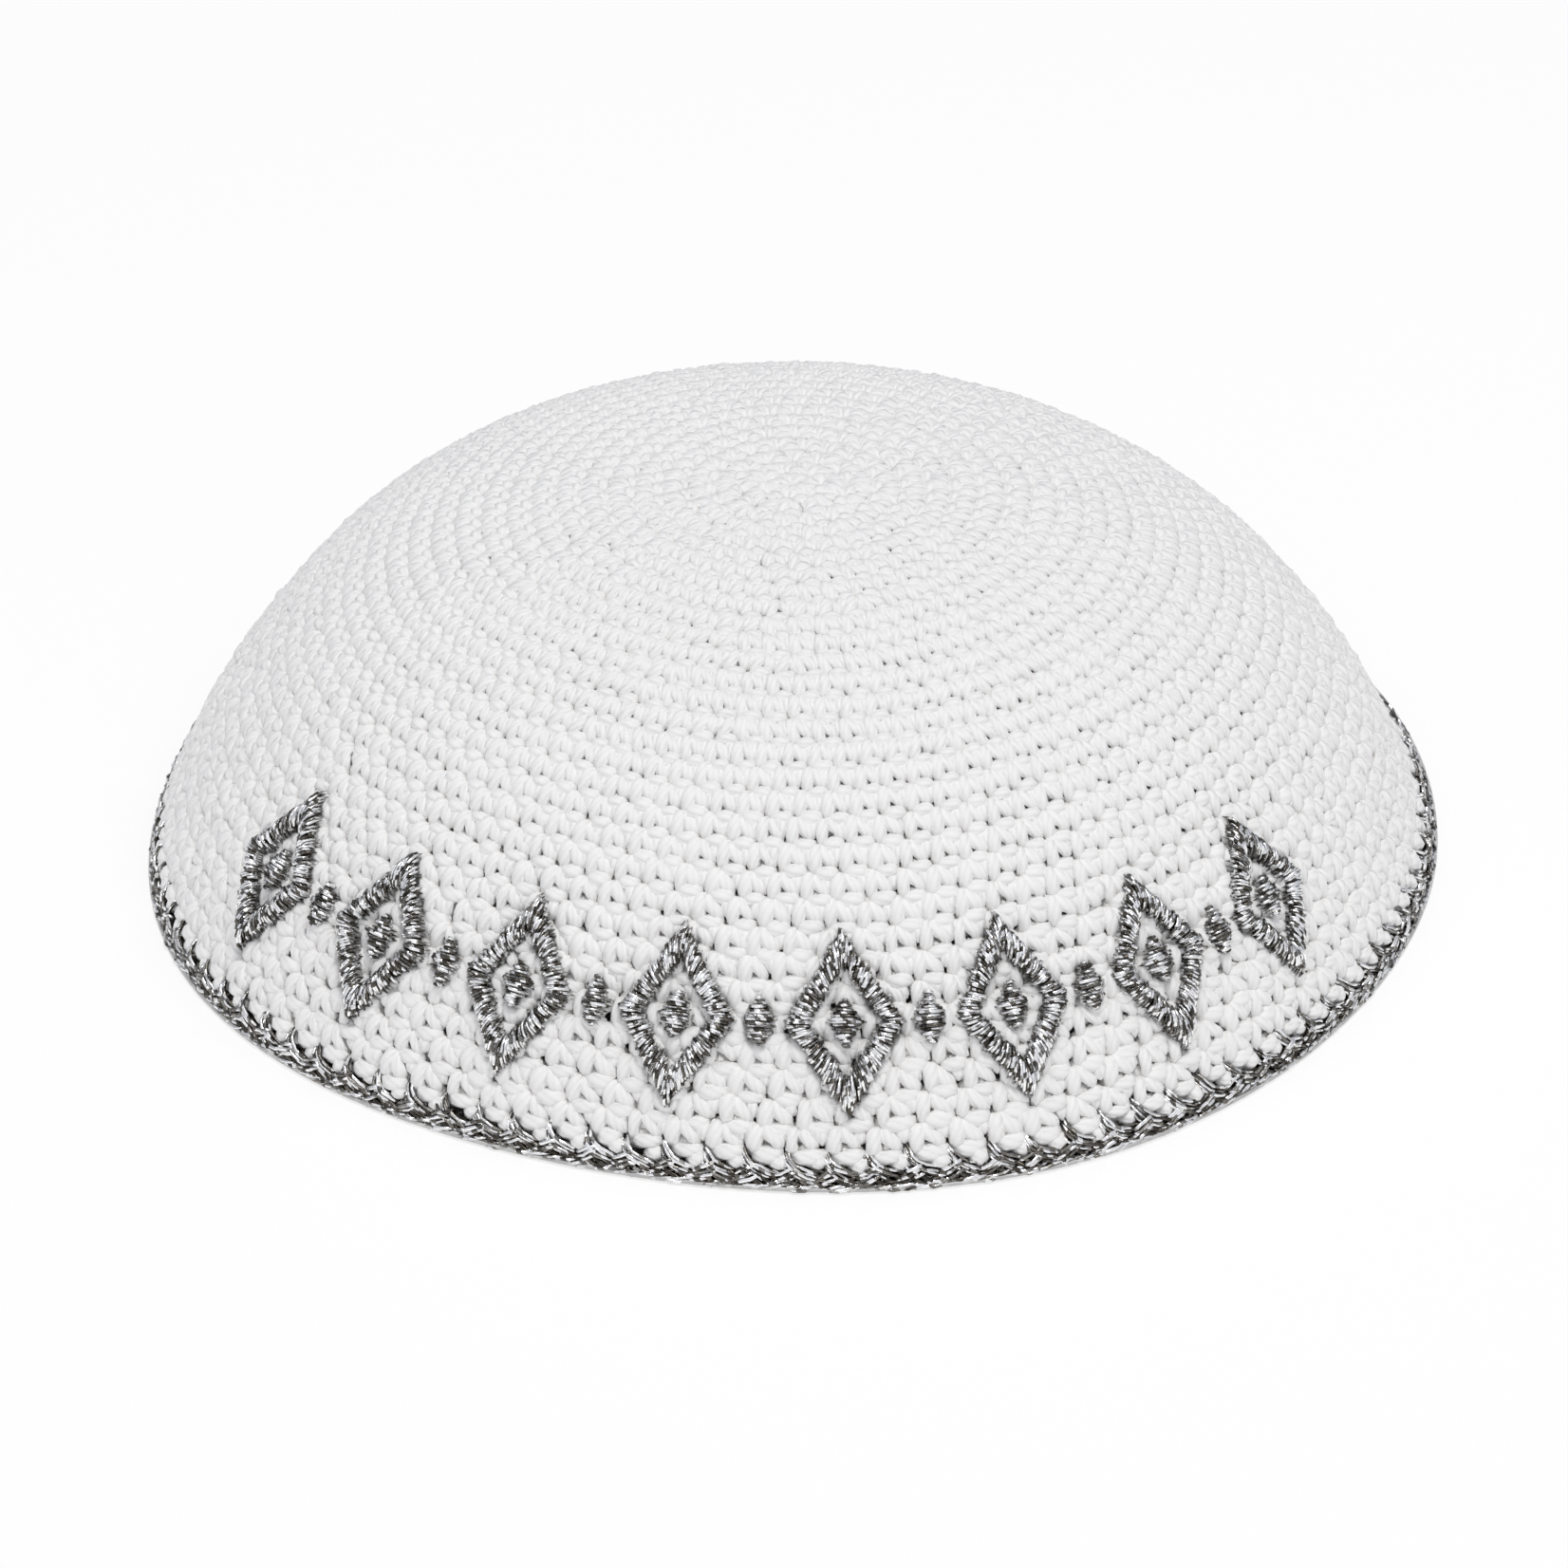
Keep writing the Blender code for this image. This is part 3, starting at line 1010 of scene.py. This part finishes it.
LOW_CHAIN = Strand(
    knots=(
        Knot(across=0.36, down=3.85, lift=-0.80, girth=0.90),
        Knot(across=0.46, down=3.75, lift=-0.10, girth=1.10),
        Knot(across=0.68, down=3.60, lift=0.06, girth=1.25),
        Knot(across=0.90, down=3.42, lift=-0.10, girth=1.10),
        Knot(across=1.00, down=3.30, lift=-0.80, girth=0.90),
    ),
    rings=7,
    sides=5,
)
INNER_CHAIN = Strand(
    knots=(
        Knot(across=-0.20, down=3.10, lift=-1.90, girth=0.90),
        Knot(across=0.10, down=2.95, lift=-2.55, girth=1.25),
        Knot(across=0.55, down=2.25, lift=-2.60, girth=1.25),
        Knot(across=0.98, down=1.55, lift=-1.90, girth=0.90),
    ),
    rings=7,
    sides=5,
)
CORD_BIT = Strand(
    knots=(
        Knot(across=-0.16, down=4.28, lift=-0.70, girth=1.00),
        Knot(across=0.04, down=4.10, lift=0.02, girth=1.15),
        Knot(across=0.30, down=3.88, lift=0.22, girth=1.20),
        Knot(across=0.56, down=3.66, lift=-0.02, girth=1.15),
        Knot(across=0.74, down=3.52, lift=-0.75, girth=1.00),
    ),
    rings=6,
    sides=5,
)


@dataclass
class Edging:
    """The metallic round: legs out of every last hole, slanting chains and a twisted cord below.

    The strays are standard deviations: across in stitch widths, down in units, lift in
    millimetres and girth a share. The crinkle is one too, ring by ring, down and in lift, and a
    share of it goes across. The core's and the lip's places are in units down and in
    millimetres of lift and depth.
    """

    cloth: Cloth
    holes: np.ndarray
    hole_arc: float
    unit: float = 1.12 * MM
    strand_radius: float = 0.20 * MM
    core_strands: int = 9
    core_turns: int = 40
    core_down: float = 3.10
    core_reach: float = 1.20
    core_lift: float = -1.15
    core_depth: float = 0.75
    core_radius: float = 0.38 * MM
    lip_down: float = 4.05
    lip_lift: float = -0.42
    lip_radius: float = 0.36 * MM
    rings_per_stitch: int = 3
    section_sides: int = 6
    clearance: float = 0.05 * MM
    stray_across: float = 0.025
    stray_down: float = 0.08
    stray_lift: float = 0.09
    stray_girth: float = 0.1
    crinkle: float = 0.07
    crinkle_across: float = 0.2
    tuck: float = 0.22
    tuck_from: float = 1.5
    seed: int = 11
    chain: tuple[Lay, ...] = (
        Lay(EDGING_LEG, copies=4, down_step=0.32, across_step=-0.045),
        Lay(CHAIN, copies=3, down_step=0.46, across_step=0.03),
        Lay(LOW_CHAIN, copies=3, down_step=0.36, across_step=-0.10),
        Lay(INNER_CHAIN, copies=3, down_step=0.34),
    )
    cord_bits: Lay = Lay(CORD_BIT, copies=2, down_step=0.34, across_step=0.17, per_stitch=3)

    def lay(self, bundle: Bundle, lay: Lay) -> None:
        """Sweeps all copies of one laid strand into a bundle.

        A copy is shifted by the steps times its place from the middle copy, and its strands
        stray as a whole and crinkle ring by ring. Below "tuck_from" units they curl inwards, by
        "tuck" millimetres for each unit. None goes below the surface that the rim rests on.

        Args:
            bundle: The bundle to fill.
            lay: The strand, and how it is repeated.
        """
        strand = lay.strand
        random = np.random.default_rng(self.seed + len(bundle.points))
        width = math.tau / len(self.holes)
        own_across, own_down, lift, girth = strand.sampled()
        middle = strand.rings // 2
        starts = (self.holes[:, None] + np.arange(lay.per_stitch) / lay.per_stitch * width).ravel()
        for copy in range(lay.copies):
            place = copy - (lay.copies - 1) / 2
            own = random.normal(0.0, 1.0, (len(starts), 4))
            crinkle = random.normal(0.0, self.crinkle, (3, len(starts), strand.rings))
            across = (
                lay.across_step * place
                + own_across
                + self.stray_across * own[:, :1]
                + self.crinkle_across * crinkle[0]
            )
            azimuth = starts[:, None] + across * width
            down = own_down + lay.down_step * place + self.stray_down * own[:, 1:2] + crinkle[1]
            arc = self.hole_arc + down * self.unit
            tuck = self.tuck * np.maximum(down - self.tuck_from, 0.0)
            rise = lift - tuck + self.stray_lift * own[:, 2:3] + crinkle[2]
            paths = self.cloth.point(arc, azimuth, rise * MM)
            thick = girth * (1 + self.stray_girth * own[:, 3:4]) * self.strand_radius
            paths[..., 2] = np.maximum(paths[..., 2], thick)
            ups = self.cloth.normal(arc[:, middle], azimuth[:, middle])
            bundle.sweep(paths, thick, thick, ups, strand.sides, random.random(len(starts)))

    def build(self, thread: FoilYarn, lip_thread: FoilYarn) -> None:
        """Builds the edging's pieces.

        A core strand's angle round the core is its share of a turn plus the core's turns times
        the azimuth. It lies the reach times the angle's cosine down from the core's middle, and
        the depth times its sine inwards.

        Args:
            thread: The finish of the metallic yarn.
            lip_thread: The finish of the smooth cord along the very edge.
        """
        chain, cord, lip = Bundle(), Bundle(), Bundle()
        for lay in self.chain:
            self.lay(chain, lay)
        self.lay(cord, self.cord_bits)
        rings = self.rings_per_stitch * len(self.holes)
        azimuth = np.arange(rings) * (math.tau / rings)
        for strand in range(self.core_strands):
            turn = math.tau * strand / self.core_strands + self.core_turns * azimuth
            down = self.core_down + self.core_reach * np.cos(turn)
            lift = self.core_lift - self.core_depth * np.sin(turn)
            self.run_round(cord, azimuth, down, lift, self.core_radius, strand / self.core_strands)
        level = np.ones_like(azimuth)
        self.run_round(lip, azimuth, self.lip_down * level, self.lip_lift * level, self.lip_radius, 0.0)
        material = thread.material()
        chain.to_piece("edging_chain", material, "edging", thread.slot)
        cord.to_piece("edging_cord", material, "edging", thread.slot)
        lip.to_piece("edging_lip", lip_thread.material(), "edging", lip_thread.slot)

    def run_round(
        self,
        bundle: Bundle,
        azimuth: np.ndarray,
        down: np.ndarray,
        lift: np.ndarray,
        radius: float,
        tint: float,
    ) -> None:
        """Runs one closed round strand along the rim, never below the surface that the rim rests on.

        Each ring is a circle, its cosine times the radius down the cloth and its sine inwards.

        Args:
            bundle: The bundle to fill.
            azimuth: Where its rings are.
            down: How far below the last holes each ring is, in the edging's units.
            lift: How far off the cloth each ring is, in millimetres.
            radius: The strand's radius.
            tint: The share that it gets.
        """
        section = np.arange(self.section_sides) * (math.tau / self.section_sides)
        arc = self.hole_arc + down[:, None] * self.unit + radius * np.cos(section)
        height = lift[:, None] * MM - radius * np.sin(section)
        points = self.cloth.point(arc, azimuth[:, None], height)
        points[..., 2] = np.maximum(points[..., 2], self.clearance)
        bundle.wrap(points, tint)


@dataclass(frozen=True)
class Motif:
    """A satin-stitched lozenge of the band, open or filled."""

    name: str
    half_width: float
    half_height: float
    filled: bool

    def side(self) -> float:
        """The length of one of its edges."""
        return math.hypot(self.half_width, self.half_height)

    def half_stroke(self, stroke: float) -> float:
        """Half a stroke's width over the distance from the centre to an edge."""
        return stroke / 2 / (self.half_width * self.half_height / self.side())

    def along_edges(self, share: np.ndarray) -> list[np.ndarray]:
        """The points at some shares of the way along each edge, across and up, edge by edge."""
        wide, high = self.half_width, self.half_height
        corners = np.array([(wide, 0.0), (0.0, high), (-wide, 0.0), (0.0, -high)])
        following = np.roll(corners, -1, axis=0)
        return [first + (second - first) * share[:, None] for first, second in zip(corners, following)]


@dataclass
class Embroidery:
    """The silver band: threads laid side by side over padded lozenges.

    The strays are standard deviations. Measures whose names end in mm are in millimetres, and
    those of the padding are shares of half the stroke's width and of the height.
    """

    cloth: Cloth
    lozenges: int = 8
    first_azimuth: float = -57.0
    last_azimuth: float = 51.0
    band_arc: float = 86.5 * MM
    stroke: float = 2.7 * MM
    height: float = 1.45 * MM
    thread_radius: float = 0.24 * MM
    thread_pitch: float = 0.37 * MM
    thread_rings: int = 7
    thread_sides: int = 5
    overhang_mm: float = 0.1
    stray_end_mm: float = 0.18
    stray_side_mm: float = 0.10
    stray_lift_mm: float = 0.06
    stray_girth: float = 0.1
    arch_power: float = 2.1
    dive: float = 0.5 * MM
    dive_power: int = 8
    filled_overhang: float = 0.25 * MM
    filled_least: float = 0.45
    filled_more: float = 0.55
    filled_power: float = 0.6
    padding_steps: int = 6
    padding_sides: int = 8
    padding_width: float = 0.78
    padding_middle: float = 0.35
    padding_depth: float = 0.45
    padding_tint: float = 0.5
    seed: int = 23
    outline: Motif = Motif(name="lozenge", half_width=5.7 * MM, half_height=9.0 * MM, filled=False)
    seed_motif: Motif = Motif(name="seed", half_width=2.2 * MM, half_height=2.8 * MM, filled=True)
    diamond: Motif = Motif(name="diamond", half_width=2.0 * MM, half_height=3.0 * MM, filled=True)

    def __post_init__(self) -> None:
        """Sets the band's radius and the random source."""
        self.band_radius = float(self.cloth.radius_at(self.band_arc))
        self.random = np.random.default_rng(self.seed)

    def lay(
        self, bundle: Bundle, azimuth: float, start: np.ndarray, end: np.ndarray, rise: np.ndarray
    ) -> None:
        """Lays threads over the padding: each rises out of the cloth, arches and goes back in.

        Along its way from -1 to 1, a thread's lift is its rise times 1 minus the way to the
        arch's power, less the dive times the way to the dive's power.

        Args:
            bundle: The bundle to fill.
            azimuth: The motif's centre.
            start: Where each thread starts, across and up in metres, threads by 2.
            end: Where each thread ends.
            rise: How high each thread arches.
        """
        count = len(start)
        way = np.linspace(-1.0, 1.0, self.thread_rings)
        jitter = self.random.normal(0.0, 1.0, (count, 5))
        unit = (end - start) / np.linalg.norm(end - start, axis=1, keepdims=True)
        side = np.stack([-unit[:, 1], unit[:, 0]], axis=1)
        start_past = self.stray_end_mm * jitter[:, :1] + self.overhang_mm
        end_past = self.stray_end_mm * jitter[:, 2:3] + self.overhang_mm
        start = start - unit * start_past * MM + side * self.stray_side_mm * jitter[:, 1:2] * MM
        end = end + unit * end_past * MM + side * self.stray_side_mm * jitter[:, 3:4] * MM
        share = (way + 1) / 2
        flat = start[:, None, :] + (end - start)[:, None, :] * share[None, :, None]
        arch = 1 - np.abs(way) ** self.arch_power
        lift = rise[:, None] * arch - self.dive * np.abs(way) ** self.dive_power
        lift = lift + self.stray_lift_mm * MM * jitter[:, 4:5]
        azimuths = azimuth + flat[..., 0] / self.band_radius
        arcs = self.band_arc - flat[..., 1]
        paths = self.cloth.point(arcs, azimuths, lift)
        thick = np.full(arcs.shape, self.thread_radius) * (1 + self.stray_girth * jitter[:, :1])
        middle = self.thread_rings // 2
        ups = self.cloth.normal(arcs[:, middle], azimuths[:, middle])
        bundle.sweep(paths, thick, thick, ups, self.thread_sides, self.random.random(count))

    def stitch_outline(self, bundle: Bundle, azimuth: float, motif: Motif) -> None:
        """Stitches an open lozenge: threads run from its inner edge to its outer edge, mitred.

        A thread's ends are its place on the middle line, from the motif's centre, times 1 less
        and 1 plus half the stroke.
        """
        half_stroke = motif.half_stroke(self.stroke)
        count = round(motif.side() / self.thread_pitch)
        for middle in motif.along_edges((np.arange(count) + 0.5) / count):
            rise = np.full(count, self.height)
            self.lay(bundle, azimuth, middle * (1 - half_stroke), middle * (1 + half_stroke), rise)

    def stitch_filled(self, bundle: Bundle, azimuth: float, motif: Motif) -> None:
        """Stitches a filled lozenge: level threads, long in the middle and short at its points.

        A thread reaches out by the half width times 1 less its way up, plus an overhang, and it
        rises by the least share of the height plus more, times 1 less its way up to a power.
        """
        count = round(2 * motif.half_height / self.thread_pitch)
        up = (np.arange(count) + 0.5) / count * 2 - 1
        reach = motif.half_width * (1 - np.abs(up)) + self.filled_overhang
        level = up * motif.half_height
        start = np.stack([-reach, level], axis=1)
        end = np.stack([reach, level], axis=1)
        rise = self.height * (self.filled_least + self.filled_more * (1 - np.abs(up)) ** self.filled_power)
        self.lay(bundle, azimuth, start, end, rise)

    def padding(self, azimuth: float, motif: Motif) -> np.ndarray:
        """The laid threads under the satin: a flat oval section carried round the lozenge.

        The section's cosine scales the lozenge from its centre by a share of half the stroke,
        and its sine lowers it by a share of the height from the padding's middle.
        """
        ring = np.concatenate(motif.along_edges(np.arange(self.padding_steps) / self.padding_steps))
        turn = np.arange(self.padding_sides) * (math.tau / self.padding_sides)
        scale = 1 + self.padding_width * motif.half_stroke(self.stroke) * np.cos(turn)
        lift = self.height * self.padding_middle - self.height * self.padding_depth * np.sin(turn)
        azimuths = azimuth + ring[:, None, 0] * scale / self.band_radius
        arcs = self.band_arc - ring[:, None, 1] * scale
        return self.cloth.point(arcs, azimuths, lift)

    def build(self, thread: FoilYarn) -> None:
        """Stitches the band, one piece for each motif, in one thread."""
        material = thread.material()
        azimuths = np.radians(np.linspace(self.first_azimuth, self.last_azimuth, self.lozenges))
        between = (azimuths[1:] + azimuths[:-1]) / 2
        rows = ((self.outline, azimuths), (self.seed_motif, azimuths), (self.diamond, between))
        for motif, places in rows:
            for number, azimuth in enumerate(places, start=1):
                bundle = Bundle()
                if motif.filled:
                    self.stitch_filled(bundle, azimuth, motif)
                else:
                    bundle.wrap(self.padding(azimuth, motif), self.padding_tint)
                    self.stitch_outline(bundle, azimuth, motif)
                name = f"{motif.name}_{number}"
                bundle.to_piece(f"satin_{name}", material, name, thread.slot)


@dataclass
class Studio:
    """The pale floor, the soft light and the camera at the photograph's angle.

    The camera's distance is in rim radii, and its aim is so far right of and above the rim's
    centre as the picture has it. The floor's glow begins and is full so far inside the rim.
    """

    rim_radius: float
    elevation: float = 31.5
    distance: float = 8.8
    lens: float = 130.4
    sensor: float = 36.0
    aim_right: float = -1.18 * MM
    aim_up: float = 4.75 * MM
    floor_reach: float = 6.0
    floor_drop: float = 0.2 * MM
    floor_colour: str = "A1A09F"
    floor_glow: float = 0.67
    glow_begins: float = 6 * MM
    glow_full: float = 2 * MM
    sky_low: tuple[float, float, float] = (0.244, 0.259, 0.300)
    sky_high: tuple[float, float, float] = (0.855, 0.864, 0.903)
    sky_axis: tuple[float, float, float] = (0.05, -0.42, 0.906)
    lamp_place: tuple[float, float, float] = (0.14, -0.30, 1.62)
    lamp_size: float = 0.35
    lamp_watts: float = 7.9
    lamp_colour: tuple[float, float, float] = (1.0, 0.984, 0.95)

    def build(self) -> None:
        """Adds the floor, the lights and the camera."""
        self.add_floor()
        self.add_lights()
        self.add_camera()
        bpy.context.scene.view_settings.view_transform = "Standard"

    def add_floor(self) -> None:
        """A wide sheet of matt paper, lit from within outside the part and unlit under it.

        The glow grows evenly with the distance from the centre, from none where it begins to
        its full strength, so that the surface round the part is white without a strong lamp.
        """
        material, shader = new_material("white_sweep")
        place = add_node(material, "ShaderNodeTexCoord")
        away = add_node(
            material, "ShaderNodeVectorMath", {"operation": "LENGTH"}, in0=place.outputs["Object"]
        )
        glow = add_node(
            material,
            "ShaderNodeMapRange",
            Value=away.outputs["Value"],
            From_Min=self.rim_radius - self.glow_begins,
            From_Max=self.rim_radius - self.glow_full,
            To_Min=0.0,
            To_Max=self.floor_glow,
        )
        fill_inputs(
            material,
            shader,
            Base_Color=linear_colour(self.floor_colour),
            Roughness=1.0,
            Specular_IOR_Level=0.0,
            Emission_Color=(1.0, 1.0, 1.0, 1.0),
            Emission_Strength=glow,
        )
        reach = self.floor_reach
        mesh = bpy.data.meshes.new("floor")
        corners = [(-reach, -reach, 0), (reach, -reach, 0), (reach, reach, 0), (-reach, reach, 0)]
        mesh.from_pydata(corners, [], [(0, 1, 2, 3)])
        mesh.materials.append(material)
        floor = bpy.data.objects.new("floor", mesh)
        floor.location = (0.0, 0.0, -self.floor_drop)
        bpy.context.collection.objects.link(floor)

    def add_lights(self) -> None:
        """A slightly cool sky, brightest above the front, and a lamp high on the right of it.

        The sky goes from its low to its high colour by the cosine of the angle to its axis.
        """
        world = bpy.data.worlds.new("studio")
        world.use_nodes = True
        background = world.node_tree.nodes["Background"]
        direction = add_node(world, "ShaderNodeTexCoord")
        height = add_node(
            world,
            "ShaderNodeVectorMath",
            {"operation": "DOT_PRODUCT"},
            in0=direction.outputs["Generated"],
            in1=self.sky_axis,
        )
        sky = add_node(
            world,
            "ShaderNodeMix",
            {"data_type": "RGBA"},
            in0=height.outputs["Value"],
            in6=(*self.sky_low, 1.0),
            in7=(*self.sky_high, 1.0),
        )
        fill_inputs(world, background, Color=sky.outputs[2])
        bpy.context.scene.world = world
        place = Vector(self.lamp_place)
        light = bpy.data.lights.new("key", "AREA")
        light.shape = "DISK"
        light.size = self.lamp_size
        light.energy = self.lamp_watts
        light.color = self.lamp_colour
        lamp = bpy.data.objects.new("key", light)
        lamp.location = place
        lamp.rotation_euler = (-place).to_track_quat("-Z", "Y").to_euler()
        bpy.context.collection.objects.link(lamp)

    def add_camera(self) -> None:
        """The camera: it looks down from the front, nearly at the rim's centre."""
        tilt = math.radians(self.elevation)
        away = self.distance * self.rim_radius
        place = Vector((0.0, -away * math.cos(tilt), away * math.sin(tilt)))
        aim = Vector((self.aim_right, self.aim_up * math.sin(tilt), self.aim_up * math.cos(tilt)))
        camera = bpy.data.cameras.new("camera")
        camera.lens = self.lens
        camera.sensor_width = self.sensor
        holder = bpy.data.objects.new("camera", camera)
        holder.location = place
        holder.rotation_euler = (aim - place).to_track_quat("-Z", "Y").to_euler()
        bpy.context.collection.objects.link(holder)
        bpy.context.scene.camera = holder


# Crocheted metallic yarn: dark grey foil with pale turns painted in as glints, and a painted highlight along
# each strand's top.
EDGING_YARN = FoilYarn(
    name="metallic_yarn",
    slot="metallic_yarn",
    turn_mm=0.8,
    dark_tone_and_shade="45413B",
    middle="8B8780",
    painted_glint_share=0.25,
    tilt=0.60,
)
# The same yarn drawn smooth along the edge: coloured pale as a painted reflection, with a soft shine, faint
# painted glints and a painted highlight along its top.
LIP_YARN = FoilYarn(
    name="silver_cord",
    slot="metallic_yarn",
    turn_mm=0.8,
    dark_tone_and_shade="C0BFBD",
    middle="D8D7D5",
    painted_glint="F6F6F4",
    roughness=0.40,
    metallic=0.3,
    tilt=0.25,
)
# Satin-stitched metallic thread: dark foil with sharp white flecks painted in as glints, and a painted
# highlight along each thread's top.
SATIN_THREAD = FoilYarn(name="silver_thread", slot="silver_thread", turn_mm=0.6)


def main() -> None:
    """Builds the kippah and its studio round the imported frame."""
    logging.basicConfig(level=logging.INFO, format="%(name)s: %(message)s")
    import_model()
    cloth = Cloth()
    Studio(rim_radius=cloth.rim_radius).build()
    crown = Crown(cloth=cloth)
    crown.build(CottonYarn())
    last_holes = crown.loops[crown.rounds] - math.pi / crown.full_round
    edging = Edging(cloth=cloth, holes=last_holes, hole_arc=crown.rounds * crown.pitch)
    edging.build(EDGING_YARN, LIP_YARN)
    Embroidery(cloth=cloth).build(SATIN_THREAD)


if __name__ == "__main__":
    main()
